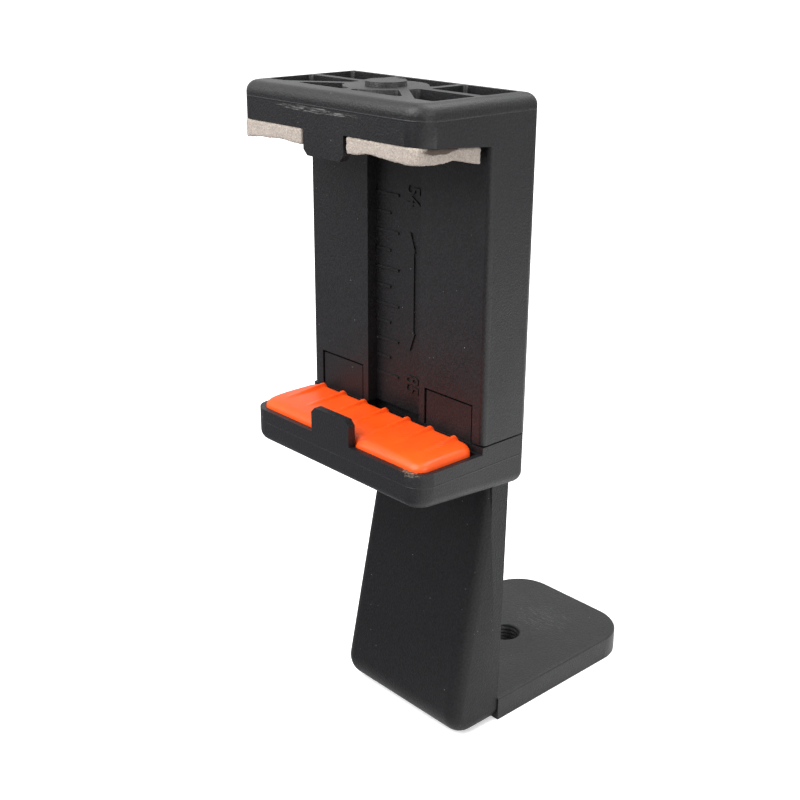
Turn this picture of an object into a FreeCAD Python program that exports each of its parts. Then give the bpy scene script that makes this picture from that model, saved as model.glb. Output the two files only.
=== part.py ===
import FreeCAD, Part
import math
import os
import re
import Sketcher

# Phone holder: a spring clamp on a bent desk stand.
# Millimetres, +Z up, Z = 0 on the desk, X = 0 on the plane of symmetry,
# -Y is the side that the phone's screen faces, Y = 0 midway between front and back.

V = FreeCAD.Vector
doc = FreeCAD.newDocument("PhoneHolder")
sheet = doc.addObject("Spreadsheet::Sheet", "Sizes")

# Driving sizes
SIZES = [
    ("grip_opening", 54.0, "smallest phone width, felt to ridges of the pad, jaw closed"),
    ("jaw_travel", 31.0, "how far the lower jaw pulls down"),
    ("clamp_width", 52.0, "across the clamp"),
    ("clamp_depth", 30.0, "front of the upper jaw to the back of the body"),
    ("body_bottom", 73.5, "desk to the bottom of the clamp body"),
    ("throat_depth", 17.5, "front of the upper jaw to the front of the rails"),
    ("head_height", 7.2, "upper jaw at its front"),
    ("head_drop", 1.4, "how much lower the upper jaw's underside is at the rails"),
    ("head_corner_radius", 4.0, "front corners of the upper jaw seen from above"),
    ("head_top_radius", 2.2, "rounding of the top outer edge"),
    ("back_edge_radius", 1.5, "upright back edges of the clamp"),
    ("rail_edge_radius", 1.2, "outer front edges of the rails"),
    ("channel_width", 15.6, "groove between the rails"),
    ("channel_depth", 2.5, "groove between the rails"),
    ("front_wall", 2.2, "wall of the body in front of the mechanism"),
    ("side_wall", 2.8, "side walls of the body"),
    ("web_wall", 2.2, "walls beside the groove"),
    ("roof_gap", 8.8, "solid top of the body above the mechanism"),
    ("cover_thickness", 2.0, "back cover"),
    ("cover_ledge", 1.2, "ledge that the back cover sits on"),
    ("cover_gap", 0.15, "clearance round the back cover"),
    ("lip_width", 11.6, "centre lip of each jaw"),
    ("lip_thickness", 1.7, "centre lip of each jaw, front to back"),
    ("upper_lip_drop", 4.9, "how far the upper lip hangs below the jaw's front"),
    ("lower_lip_rise", 5.4, "how far the lower lip stands above the tray's rim"),
    ("lip_chamfer", 1.1, "cut corners of the lips"),
    ("felt_thickness", 3.1, "felt strips under the upper jaw"),
    ("felt_corner_radius", 2.0, "front outer corners of the felt strips"),
    ("felt_front_gap", 0.1, "felt strip from the front of the upper jaw"),
    ("felt_side_gap", 0.9, "felt strip from the side of the clamp"),
    ("felt_back_gap", 1.8, "felt strip from the rails"),
    ("felt_lip_gap", 0.6, "felt strip from the lip"),
    ("tick_pitch", 7.62, "long marks of the scale"),
    ("tick_start", 44.6, "highest long mark above the bottom of the body"),
    ("tick_left", 7.6, "left end of the marks from the middle of the groove"),
    ("long_tick", 6.6, "long marks"),
    ("short_tick", 4.2, "short marks"),
    ("mark_width", 0.5, "raised lines of the scale"),
    ("mark_height", 0.3, "raised lines of the scale"),
    ("arrow_offset", 3.4, "double arrow from the middle of the groove"),
    ("arrow_low", 17.2, "lower end of the arrow's shaft"),
    ("arrow_high", 33.9, "upper end of the arrow's shaft"),
    ("barb_step", 0.35, "heads of the arrow beside its shaft"),
    ("barb_length", 3.9, "one-sided heads of the arrow"),
    ("barb_width", 1.4, "one-sided heads of the arrow"),
    ("hub_setback", 15.5, "hub's centre from the front of the upper jaw"),
    ("hub_radius", 8.2, "round hub in the middle of the upper jaw's top"),
    ("boss_radius", 4.0, "low disc on the hub"),
    ("boss_height", 0.9, "low disc on the hub"),
    ("rib_thickness", 1.9, "ribs of the upper jaw's top"),
    ("side_rib_setback", 17.0, "ribs from the hub to the sides, from the front of the upper jaw"),
    ("back_rib_offset", 8.7, "ribs from the hub to the back rim, from the middle"),
    ("diagonal_root", 4.5, "where a diagonal rib's line passes beside the hub's centre"),
    ("diagonal_inset", 9.0, "where a diagonal rib meets the front rim, from the side of the clamp"),
    ("rim_front", 5.6, "rim in front of the pockets of the upper jaw's top"),
    ("rim_side", 2.8, "rim beside the pockets"),
    ("rim_back", 3.0, "rim behind the pockets"),
    ("pocket_corner", 0.7, "rounded corners of the pockets"),
    ("pocket_depth", 4.2, "pockets of the upper jaw's top"),
    ("notch_side", 3.1, "rail notch from the side of the clamp"),
    ("notch_land", 1.6, "rail between the groove and the notch"),
    ("notch_height", 7.8, "rail notch above the bottom of the body"),
    ("tab_recess", 0.2, "tabs behind the rails' front plane"),
    ("tab_gap", 0.45, "clearance round the jaw's tabs"),
    ("overlap", 0.2, "how deep the foot of a boss, rib or lip is sunk in what carries it"),
    ("beyond", 1.0, "how far a cut runs out past the faces that it opens"),
    ("jaw_front_gap", 0.5, "lower jaw's front behind the upper jaw's front"),
    ("jaw_back_gap", 0.1, "lower jaw's back from the upright"),
    ("jaw_top_gap", 0.3, "body to the jaw below it, closed"),
    ("rim_drop", 1.7, "rim of the tray below the bottom of the body"),
    ("tray_height", 7.3, "lower jaw at its front, rim to underside"),
    ("tray_slope", 2.2, "how much lower the lower jaw's underside is at the back"),
    ("tray_wall", 1.2, "rim of the tray"),
    ("tray_back_wall", 0.5, "rim of the tray in front of the rails"),
    ("tray_depth", 3.6, "tray's floor below its rim"),
    ("jaw_corner_radius", 4.0, "front corners of the lower jaw seen from above"),
    ("jaw_bottom_radius", 2.4, "rounding of the lower jaw's bottom edges"),
    ("jaw_back_thickness", 5.7, "lower jaw behind the rails' front plane, in the middle"),
    ("jaw_cutout_width", 39.4, "opening in the back of the lower jaw that passes the stand"),
    ("slot_depth", 4.0, "slot behind the tray, between the tabs, front to back"),
    ("arm_inner_gap", 1.05, "guide arm from the wall beside the groove"),
    ("arm_thickness", 2.8, "guide arms of the lower jaw"),
    ("guide_length", 11.0, "guide arms still inside the body when the jaw is fully down"),
    ("slide_gap", 0.35, "clearance of the guide arms in the rails"),
    ("pad_rise", 3.0, "ridges of the rubber pad above the tray's rim"),
    ("pad_gap", 0.15, "rubber pad in the tray"),
    ("pad_lip_gap", 0.45, "rubber pad round the lower lip"),
    ("pad_edge_radius", 1.6, "rounding of the rubber pad"),
    ("ridge_height", 0.9, "ridges of the rubber pad at their back ends"),
    ("ridge_start", 5.2, "front ends of the ridges from the front of the clamp"),
    ("ridge_nib", 1.0, "rounded back ends of the ridges"),
    ("ridge_width", 0.8, "ridges of the rubber pad"),
    ("ridge_pitch", 6.75, "ridges of the rubber pad"),
    ("spring_radius", 1.9, "return spring, middle of the wire"),
    ("spring_wire", 0.8, "wire of the return spring"),
    ("hook_width", 0.66, "flat hooks of the return spring"),
    ("spring_turns", 7, "turns of the return spring"),
    ("pin_below_arm_top", 8.0, "lower spring pin below the top of the arm"),
    ("pin_below_roof", 2.5, "upper spring pin below the top of the mechanism's space"),
    ("spring_back", 4.5, "spring's axis from the back of the body"),
    ("pin_radius", 1.0, "bores of the spring pins"),
    ("pin_play", 0.01, "spring pins, smaller than their bores"),
    ("pin_floor", 0.3, "guide arm in front of the lower pin's bore"),
    ("pin_end_gap", 0.1, "end of a pin from the bottom of its bore"),
    ("pin_past_spring", 1.6, "lower pins behind the springs' axis"),
    ("pin_seat", 1.2, "how deep the upper pins sit in the wall"),
    ("clamp_screw_height", 98.5, "desk to the axis of the clamp screw"),
    ("clamp_screw_radius", 3.1, "quarter inch screw"),
    ("screw_head_radius", 6.0, "head of the clamp screw"),
    ("screw_head_height", 3.6, "head of the clamp screw"),
    ("screw_head_round", 1.4, "rounded rim of the clamp screw's head"),
    ("key_across_flats", 4.0, "hexagonal socket of the clamp screw"),
    ("key_depth", 2.5, "hexagonal socket of the clamp screw"),
    ("screw_tip_gap", 0.4, "tip of the clamp screw from the wall in front of it"),
    ("nut_across_flats", 11.1, "nut of the clamp screw"),
    ("nut_thickness", 4.8, "nut of the clamp screw"),
    ("nut_gap", 0.1, "clearance round the nut"),
    ("nut_boss_radius", 8.0, "boss of the back cover that holds the nut"),
    ("screw_gap", 0.05, "clearance round screws"),
    ("small_screw_radius", 1.2, "cover and foot screws"),
    ("small_head_radius", 2.3, "cover and foot screws"),
    ("small_head_height", 1.3, "cover and foot screws"),
    ("blind_gap", 0.3, "blind bore past the tip of its screw"),
    ("cover_screw_length", 7.0, "cover screws"),
    ("cover_screw_inset", 4.6, "upper cover screws from the cover's sides"),
    ("upper_screw_rise", 2.0, "upper cover screws above the mechanism's space"),
    ("cover_margin", 2.8, "top edge of the cover above its upper screws"),
    ("lower_screw_offset", 5.6, "lower cover screws from the middle"),
    ("lower_screw_height", 5.0, "lower cover screws above the bottom of the body"),
    ("screw_boss_radius", 2.4, "bosses of the lower cover screws"),
    ("plate_thickness", 5.4, "upright behind the clamp"),
    ("upright_height", 112.0, "top of the upright"),
    ("upright_base_width", 37.0, "upright on the desk"),
    ("upright_taper", 1.5, "how much narrower each side of the upright is at the clamp"),
    ("slope_top", 65.3, "where the sloping front of the upright begins"),
    ("toe_reach", 12.2, "sloping front runs this far forward down to the desk"),
    ("heel_reach", 2.6, "back of the upright on the desk, behind the clamp's back"),
    ("nose_radius", 6.0, "rounded toe of the upright"),
    ("upright_edge_radius", 3.2, "front edges of the upright"),
    ("upright_corner_radius", 6.0, "top corners of the upright"),
    ("foot_thickness", 5.6, "foot plate"),
    ("foot_step", 0.2, "foot plate's sides outside the upright's sides"),
    ("foot_length", 47.65, "foot plate behind the upright"),
    ("foot_seam", 0.25, "seam between the foot plate and the upright, on the desk"),
    ("foot_corner_radius", 9.5, "back corners of the foot plate"),
    ("foot_edge_radius", 0.5, "top edges of the foot plate"),
    ("foot_hole_radius", 3.5, "screw hole of the foot plate"),
    ("foot_hole_setback", 22.05, "screw hole from the front of the foot plate"),
    ("gate_mark", 0.5, "moulding mark on the foot plate's back edge"),
    ("gate_mark_offset", 0.7, "moulding mark from the middle of the foot plate"),
    ("gate_mark_radius", 1.1, "moulding mark on the foot plate's back edge"),
    ("tongue_width", 24.0, "tongue of the foot plate in the upright"),
    ("tongue_length", 8.5, "tongue of the foot plate in the upright"),
    ("tongue_height", 3.0, "tongue of the foot plate in the upright"),
    ("tongue_gap", 0.1, "clearance round the tongue"),
    ("foot_screw_setback", 4.7, "foot screws from the front of the foot plate"),
    ("foot_screw_spacing", 14.0, "foot screws"),
    ("foot_head_rise", 0.1, "heads of the foot screws above the desk"),
    ("foot_screw_length", 9.0, "foot screws"),
]
for row, (alias, number, meaning) in enumerate(SIZES, start=1):
    sheet.set(f"A{row}", alias)
    sheet.set(f"B{row}", str(number))
    sheet.setAlias(f"B{row}", alias)
    sheet.set(f"C{row}", meaning)
doc.recompute()

FUNCTIONS = ("tan", "sqrt", "cos", "sin")


def fx(text):
    """Turn size names in a formula into references to the sheet."""
    def link(found):
        word = found.group(0)
        return word if word in FUNCTIONS else "Sizes." + word
    return re.sub(r"[a-z][a-z_]*[a-z]", link, str(text))


def size(alias):
    """The value of one driving size."""
    return float(sheet.get(alias))


# Places that several pieces share, as formulas of the driving sizes.
# In the clamp's own frame Y = 0 is its front and Z = 0 the bottom of its body.
HALF_WIDTH = "clamp_width/2"
TOTAL_DEPTH = "(clamp_depth + heel_reach + foot_seam + foot_length + gate_mark)"
FRONT_Y = f"-{TOTAL_DEPTH}/2"
PAD_TOP = "(-rim_drop + pad_rise)"
FELT_MIDDLE = f"({PAD_TOP} + grip_opening)"
HEAD_MIDDLE = f"({FELT_MIDDLE} + felt_thickness)"
HEAD_FRONT_Z = f"({HEAD_MIDDLE} + head_drop/2)"
HEAD_BACK_Z = f"({HEAD_MIDDLE} - head_drop/2)"
BODY_TOP = f"({HEAD_FRONT_Z} + head_height)"
CHANNEL_FLOOR = "(throat_depth + channel_depth)"
CAVITY_FRONT = "(throat_depth + front_wall)"
WEB_BACK = f"({CHANNEL_FLOOR} + front_wall)"
COVER_FRONT = "(clamp_depth - cover_thickness)"
CAVITY_HALF = "(clamp_width/2 - side_wall)"
CAVITY_TOP = f"({BODY_TOP} - roof_gap)"
RAIL_INNER = "(channel_width/2 + web_wall)"
NOTCH_OUTER = "(clamp_width/2 - notch_side)"
NOTCH_INNER = "(channel_width/2 + notch_land)"
RIM_Z = "(-rim_drop)"
JAW_TOP = "(-jaw_top_gap)"
JAW_FRONT_BOTTOM = "(-rim_drop - tray_height)"
JAW_BACK_BOTTOM = "(-rim_drop - tray_height - tray_slope)"
TRAY_FLOOR = "(-rim_drop - tray_depth)"
JAW_BACK = "(throat_depth + jaw_back_thickness)"
ARM_FRONT = f"({CAVITY_FRONT} + slide_gap)"
ARM_OUTER = f"({CAVITY_HALF} - slide_gap)"
ARM_INNER = f"({RAIL_INNER} + arm_inner_gap)"
SPRING_X = f"(({ARM_INNER} + {ARM_OUTER})/2)"
ARM_TOP = "(jaw_travel + guide_length)"
SPRING_LOW = f"({ARM_TOP} - pin_below_arm_top)"
SPRING_HIGH = f"({CAVITY_TOP} - pin_below_roof)"
SPRING_Y = "(clamp_depth - spring_back)"
SCREW_Z = "(clamp_screw_height - body_bottom)"
UPRIGHT_FRONT = "clamp_depth"
UPRIGHT_BACK = "(clamp_depth + plate_thickness)"
HEEL_Y = "(clamp_depth + heel_reach)"
FOOT_FRONT = "(clamp_depth + heel_reach + foot_seam)"
FOOT_BACK = f"({FOOT_FRONT} + foot_length)"
FOOT_HALF = "(upright_base_width/2 + foot_step)"
COVER_HALF = f"({CAVITY_HALF} + cover_ledge)"
COVER_LOW = "cover_ledge"
UPPER_SCREW_X = f"({COVER_HALF} - cover_screw_inset)"
UPPER_SCREW_Z = f"({CAVITY_TOP} + upper_screw_rise)"
COVER_HIGH = f"({UPPER_SCREW_Z} + cover_margin)"
FOOT_SCREW_Y = f"({FOOT_FRONT} - foot_screw_setback)"

IN_CLAMP = (FRONT_Y, "body_bottom")
IN_STAND = (FRONT_Y, "0")


def new_body(label, place):
    """One piece: a body named label, put in the clamp's or the stand's frame."""
    body = doc.addObject("PartDesign::Body", label)
    body.Label = label
    body.setExpression("Placement.Base.y", fx(place[0]))
    body.setExpression("Placement.Base.z", fx(place[1]))
    return body


def sketch_on(body, plane, name, offset="0"):
    """An empty sketch on one of the body's own origin planes."""
    sketch = body.newObject("Sketcher::SketchObject", name)
    support = [o for o in body.Origin.OriginFeatures if o.Role == plane + "_Plane"][0]
    sketch.AttachmentSupport = [(support, "")]
    sketch.MapMode = "FlatFace"
    sketch.setExpression("AttachmentOffset.Base.z", fx(offset))
    return sketch


def bind(sketch, kind, formula, *where):
    number = sketch.addConstraint(Sketcher.Constraint(kind, *where))
    sketch.setExpression(f"Constraints[{number}]", fx(formula))


def outline(sketch, points):
    """A closed outline whose corners are formulas of the sizes."""
    first = sketch.GeometryCount
    count = len(points)
    turn = 2 * math.pi / count
    start = [V(math.cos(k * turn), math.sin(k * turn), 0) for k in range(count)]
    for k in range(count):
        sketch.addGeometry(Part.LineSegment(start[k], start[(k + 1) % count]), False)
    for k in range(count):
        following = first + (k + 1) % count
        sketch.addConstraint(Sketcher.Constraint("Coincident", first + k, 2, following, 1))
    for k, (across, up) in enumerate(points):
        bind(sketch, "DistanceX", across, -1, 1, first + k, 1, start[k].x)
        bind(sketch, "DistanceY", up, -1, 1, first + k, 1, start[k].y)


def rectangle(sketch, low, high):
    """A rectangle between two corners given as formulas."""
    outline(sketch, [low, (high[0], low[1]), high, (low[0], high[1])])


def circle(sketch, across, up, radius):
    """A circle whose centre and radius are formulas."""
    first = sketch.addGeometry(Part.Circle(V(0.5, 0.5, 0), V(0, 0, 1), 1.0), False)
    bind(sketch, "DistanceX", across, -1, 1, first, 3, 0.5)
    bind(sketch, "DistanceY", up, -1, 1, first, 3, 0.5)
    bind(sketch, "Radius", radius, first, 1.0)


def hexagon(sketch, up, across_flats):
    """A hexagon on the plane of symmetry, with corners left and right."""
    flat = f"({across_flats}/2)"
    corner = f"({across_flats}/2/cos(30))"
    outline(sketch, [(corner, up), (f"{corner}/2", f"{up}+{flat}"), (f"-{corner}/2", f"{up}+{flat}"),
                     (f"-{corner}", up), (f"-{corner}/2", f"{up}-{flat}"), (f"{corner}/2", f"{up}-{flat}")])


def pad(body, sketch, length, middle=False, back=False):
    """Add a sketch to the body as a straight block."""
    feature = body.newObject("PartDesign::Pad", sketch.Name + "Pad")
    feature.Profile = sketch
    feature.Midplane = middle
    feature.Reversed = back
    feature.setExpression("Length", fx(length))
    sketch.Visibility = False
    doc.recompute()
    return feature


def pocket(body, sketch, length, middle=False, back=False):
    """Cut a sketch out of the body and make sure that something was removed."""
    before = body.Shape.Volume
    feature = body.newObject("PartDesign::Pocket", sketch.Name + "Cut")
    feature.Profile = sketch
    feature.Midplane = middle
    feature.Reversed = back
    feature.setExpression("Length", fx(length))
    doc.recompute()
    if body.Shape.Volume > before - 1e-3:
        raise ValueError(f"{feature.Name} removes nothing")
    return feature


def edges_of(feature, test):
    """Names of the edges whose middle and direction satisfy a test."""
    names = []
    for number, edge in enumerate(feature.Shape.Edges, start=1):
        box = edge.BoundBox
        if test(box.Center, V(box.XLength, box.YLength, box.ZLength)):
            names.append(f"Edge{number}")
    return names


def fillet(body, radius, test, limit=None):
    """Round the edges that satisfy a test; a wall may limit the radius."""
    base = body.Tip
    feature = body.newObject("PartDesign::Fillet", f"{body.Name}Round")
    feature.Base = (base, edges_of(base, test))
    formula = fx(radius) if limit is None else f"min({fx(radius)}; {fx(limit)})"
    feature.setExpression("Radius", formula)
    doc.recompute()
    return feature


def mirror_across(body, features, plane="YZ"):
    """Repeat features on the other side of the plane of symmetry."""
    feature = body.newObject("PartDesign::Mirrored", f"{body.Name}Mirror")
    feature.Originals = features
    support = [o for o in body.Origin.OriginFeatures if o.Role == plane + "_Plane"][0]
    feature.MirrorPlane = (support, [""])
    body.Tip = feature
    doc.recompute()
    return feature


def near(one, other, slack=0.02):
    return abs(one - other) < slack


def rod(body, name, across, up, radius, start, length):
    """A round pad along +Y, used for pins, screws and bosses."""
    sketch = sketch_on(body, "XZ", name, f"-({start})")
    circle(sketch, across, up, radius)
    return pad(body, sketch, length, back=True)


def bore(body, name, across, up, radius, start, length):
    """A round hole along +Y."""
    sketch = sketch_on(body, "XZ", name, f"-({start})")
    circle(sketch, across, up, radius)
    return pocket(body, sketch, length)


helper = doc.addObject("App::FeaturePython", "Reckoner")
helper.addProperty("App::PropertyFloat", "Proof")


def reckon(formula):
    """The value of a formula of the sizes, for the tests that pick edges."""
    helper.setExpression("Proof", fx(formula))
    helper.recompute()
    return float(helper.Proof)


half_width = reckon(HALF_WIDTH)
body_top = reckon(BODY_TOP)
clamp_depth = size("clamp_depth")
throat = size("throat_depth")

# Clamp body: one moulding, a C seen from the side, with rails, groove and hollow back
clamp_body = new_body("clamp_body", IN_CLAMP)
side = sketch_on(clamp_body, "YZ", "BodySide")
outline(side, [("throat_depth", "0"), ("clamp_depth", "0"), ("clamp_depth", BODY_TOP), ("0", BODY_TOP),
               ("0", HEAD_FRONT_Z), ("throat_depth", HEAD_BACK_Z)])
pad(clamp_body, side, "clamp_width", middle=True)
fillet(clamp_body, "head_corner_radius",
       lambda c, d: near(c.y, 0) and near(abs(c.x), half_width) and d.z > 2 and near(d.x, 0))
fillet(clamp_body, "back_edge_radius",
       lambda c, d: near(c.y, clamp_depth) and near(abs(c.x), half_width) and d.z > 9)
fillet(clamp_body, "rail_edge_radius",
       lambda c, d: near(c.y, throat) and near(abs(c.x), half_width) and d.z > 9)
fillet(clamp_body, "head_top_radius",
       lambda c, d: near(c.z, body_top) and near(d.z, 0))

upper_lip = sketch_on(clamp_body, "XZ", "UpperLip")
LIP_LOW = f"({HEAD_FRONT_Z} - upper_lip_drop)"
outline(upper_lip, [("-lip_width/2", HEAD_FRONT_Z + "+overlap"), ("-lip_width/2", LIP_LOW + "+lip_chamfer"),
                    ("-lip_width/2+lip_chamfer", LIP_LOW), ("lip_width/2-lip_chamfer", LIP_LOW),
                    ("lip_width/2", LIP_LOW + "+lip_chamfer"), ("lip_width/2", HEAD_FRONT_Z + "+overlap")])
pad(clamp_body, upper_lip, "lip_thickness", back=True)

channel = sketch_on(clamp_body, "YZ", "Channel")
rectangle(channel, ("throat_depth-beyond", "-beyond"), (CHANNEL_FLOOR, HEAD_BACK_Z + "-overlap"))
pocket(clamp_body, channel, "channel_width", middle=True)

cover_seat = sketch_on(clamp_body, "XZ", "CoverSeat", "-clamp_depth")
rectangle(cover_seat, (f"-{COVER_HALF}", COVER_LOW), (COVER_HALF, COVER_HIGH))
pocket(clamp_body, cover_seat, "cover_thickness", back=True)

hollow = sketch_on(clamp_body, "XZ", "Hollow", f"-{COVER_FRONT}")
rectangle(hollow, (f"-{CAVITY_HALF}", "-beyond"), (CAVITY_HALF, CAVITY_TOP))
pocket(clamp_body, hollow, f"{COVER_FRONT} - {WEB_BACK}", back=True)

rail_hollow = sketch_on(clamp_body, "XZ", "RailHollow", f"-({WEB_BACK}+overlap)")
rectangle(rail_hollow, (RAIL_INNER, "-beyond"), (CAVITY_HALF, CAVITY_TOP))
rail_cut = pocket(clamp_body, rail_hollow, f"{WEB_BACK} + overlap - {CAVITY_FRONT}", back=True)

rail_notch = sketch_on(clamp_body, "XZ", "RailNotch", f"-({CAVITY_FRONT}+overlap)")
rectangle(rail_notch, (NOTCH_INNER, "-beyond"), (NOTCH_OUTER, "notch_height"))
notch_cut = pocket(clamp_body, rail_notch, "front_wall+overlap+beyond", back=True)
mirror_across(clamp_body, [rail_cut, notch_cut])

# Top of the upper jaw: pockets between a rim, a round hub and the ribs that join them
RIM_RUN = "(hub_setback - rim_front)"
DIAGONAL_REACH = "(clamp_width/2 - diagonal_inset)"
DIAGONAL_RUN = f"({DIAGONAL_REACH} - diagonal_root)"
# a diagonal rib's edges lie this far along X from its middle line
HALF_DIAGONAL = f"(rib_thickness/2*sqrt({DIAGONAL_RUN}*{DIAGONAL_RUN}+{RIM_RUN}*{RIM_RUN})/{RIM_RUN})"
POCKET_SIDE = "(clamp_width/2 - rim_side)"
POCKET_BACK = "(clamp_depth - rim_back)"
pockets = sketch_on(clamp_body, "XY", "Pockets", BODY_TOP)
outline(pockets, [("rib_thickness/2", "rim_front"), (f"{DIAGONAL_REACH}-{HALF_DIAGONAL}", "rim_front"),
                  (f"diagonal_root-{HALF_DIAGONAL}", "hub_setback"), ("rib_thickness/2", "hub_setback")])
outline(pockets, [(f"{DIAGONAL_REACH}+{HALF_DIAGONAL}", "rim_front"), (POCKET_SIDE, "rim_front"),
                  (POCKET_SIDE, "side_rib_setback-rib_thickness/2"),
                  (f"diagonal_root+{HALF_DIAGONAL}", "side_rib_setback-rib_thickness/2"),
                  (f"diagonal_root+{HALF_DIAGONAL}", "hub_setback")])
rectangle(pockets, ("back_rib_offset+rib_thickness/2", "side_rib_setback+rib_thickness/2"),
          (POCKET_SIDE, POCKET_BACK))
rectangle(pockets, ("-back_rib_offset+rib_thickness/2", "side_rib_setback+rib_thickness/2"),
          ("back_rib_offset-rib_thickness/2", POCKET_BACK))
pockets_cut = pocket(clamp_body, pockets, "pocket_depth")
mirror_across(clamp_body, [pockets_cut])
hub = sketch_on(clamp_body, "XY", "Hub", BODY_TOP + "-pocket_depth-overlap")
circle(hub, "0", "hub_setback", "hub_radius")
pad(clamp_body, hub, "pocket_depth+overlap")
boss = sketch_on(clamp_body, "XY", "HubDisc", BODY_TOP + "-overlap")
circle(boss, "0", "hub_setback", "boss_radius")
pad(clamp_body, boss, "boss_height+overlap")
pocket_depth = size("pocket_depth")
fillet(clamp_body, "pocket_corner",
       lambda c, d: near(c.z, body_top - pocket_depth / 2) and near(d.z, pocket_depth) and d.x + d.y < 0.02)

# Scale in the groove: raised lines and a double arrow with one-sided heads
marks = sketch_on(clamp_body, "XZ", "ScaleMarks", f"-({CHANNEL_FLOOR}+overlap)")
LONG_TICKS = 6
for step in range(2 * LONG_TICKS - 1):
    length = "short_tick" if step % 2 else "long_tick"
    up = f"tick_start-tick_pitch*{step}/2"
    rectangle(marks, ("-tick_left", f"{up}-mark_width/2"), (f"-tick_left+{length}", f"{up}+mark_width/2"))
shaft_left = "arrow_offset-mark_width/2"
shaft_right = "arrow_offset+mark_width/2"
outline(marks, [(shaft_left, "arrow_low"), (shaft_left, "arrow_high"),
                (f"{shaft_left}+barb_step", "arrow_high"),
                (f"{shaft_left}+barb_step-barb_width", "arrow_high+barb_length"),
                (f"{shaft_right}+barb_step-barb_width", "arrow_high+barb_length"),
                (f"{shaft_right}+barb_step", "arrow_high"),
                (shaft_right, "arrow_high"), (shaft_right, "arrow_low"),
                (f"{shaft_right}+barb_step", "arrow_low"),
                (f"{shaft_right}+barb_step-barb_width", "arrow_low-barb_length"),
                (f"{shaft_left}+barb_step-barb_width", "arrow_low-barb_length"),
                (f"{shaft_left}+barb_step", "arrow_low")])
pad(clamp_body, marks, "mark_height+overlap")

lower_bosses = sketch_on(clamp_body, "XZ", "LowerBosses", f"-({WEB_BACK}-overlap)")
circle(lower_bosses, "lower_screw_offset", "lower_screw_height", "screw_boss_radius")
circle(lower_bosses, "-lower_screw_offset", "lower_screw_height", "screw_boss_radius")
pad(clamp_body, lower_bosses, f"{COVER_FRONT}-{WEB_BACK}+overlap", back=True)
screw_places = [("lower_screw_offset", "lower_screw_height"), ("-lower_screw_offset", "lower_screw_height"),
                (UPPER_SCREW_X, UPPER_SCREW_Z), (f"-{UPPER_SCREW_X}", UPPER_SCREW_Z)]
screw_bores = sketch_on(clamp_body, "XZ", "ScrewBores", f"-{COVER_FRONT}")
for across, up in screw_places:
    circle(screw_bores, across, up, "small_screw_radius+screw_gap")
pocket(clamp_body, screw_bores, "cover_screw_length-cover_thickness+blind_gap", back=True)
pin_bores = sketch_on(clamp_body, "XZ", "PinBores", f"-({CAVITY_FRONT}+beyond)")
circle(pin_bores, SPRING_X, SPRING_HIGH, "pin_radius")
circle(pin_bores, f"-{SPRING_X}", SPRING_HIGH, "pin_radius")
pocket(clamp_body, pin_bores, "pin_seat+beyond", back=True)

# Back cover: flat plate let into the body, with a boss that holds the nut
back_cover = new_body("back_cover", IN_CLAMP)
plate = sketch_on(back_cover, "XZ", "CoverPlate", f"-{COVER_FRONT}")
rectangle(plate, (f"-{COVER_HALF}+cover_gap", COVER_LOW + "+cover_gap"),
          (f"{COVER_HALF}-cover_gap", COVER_HIGH + "-cover_gap"))
pad(back_cover, plate, "cover_thickness", back=True)
NUT_FRONT = f"({COVER_FRONT} - nut_thickness)"
rod(back_cover, "NutBoss", "0", SCREW_Z, "nut_boss_radius", NUT_FRONT, "nut_thickness+overlap")
nut_seat = sketch_on(back_cover, "XZ", "NutSeat", f"-{NUT_FRONT}")
hexagon(nut_seat, SCREW_Z, "(nut_across_flats+2*nut_gap)")
pocket(back_cover, nut_seat, "nut_thickness")
cover_bores = sketch_on(back_cover, "XZ", "CoverBores", f"-{COVER_FRONT}")
circle(cover_bores, "0", SCREW_Z, "clamp_screw_radius+screw_gap")
for across, up in screw_places:
    circle(cover_bores, across, up, "small_screw_radius+screw_gap")
pocket(back_cover, cover_bores, "cover_thickness")
cover_sinks = sketch_on(back_cover, "XZ", "CoverSinks", "-clamp_depth")
for across, up in screw_places:
    circle(cover_sinks, across, up, "small_head_radius+screw_gap")
pocket(back_cover, cover_sinks, "small_head_height", back=True)

# Cover screws: four small countersunk screws
cover_screws = new_body("cover_screws", IN_CLAMP)
cover_screws.AllowCompound = True
shanks = sketch_on(cover_screws, "XZ", "CoverShanks", "-(clamp_depth-cover_screw_length)")
for across, up in screw_places:
    circle(shanks, across, up, "small_screw_radius")
pad(cover_screws, shanks, "cover_screw_length-small_head_height+overlap", back=True)
heads = sketch_on(cover_screws, "XZ", "CoverHeads", "-(clamp_depth-small_head_height+screw_gap)")
for across, up in screw_places:
    circle(heads, across, up, "small_head_radius")
pad(cover_screws, heads, "small_head_height-2*screw_gap", back=True)

# Clamp screw and its nut: they hold the clamp to the upright
clamp_screw = new_body("clamp_screw", IN_CLAMP)
SCREW_TIP = f"({WEB_BACK} + screw_tip_gap)"
rod(clamp_screw, "Shank", "0", SCREW_Z, "clamp_screw_radius", SCREW_TIP,
    f"{UPRIGHT_BACK}-{SCREW_TIP}+overlap")
rod(clamp_screw, "PanHead", "0", SCREW_Z, "screw_head_radius", UPRIGHT_BACK, "screw_head_height")
screw_end = reckon(UPRIGHT_BACK) + size("screw_head_height")
fillet(clamp_screw, "screw_head_round", lambda c, d: near(c.y, screw_end))
screw_slot = sketch_on(clamp_screw, "XZ", "DriveSocket", f"-({UPRIGHT_BACK}+screw_head_height)")
hexagon(screw_slot, SCREW_Z, "key_across_flats")
pocket(clamp_screw, screw_slot, "key_depth", back=True)

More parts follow.
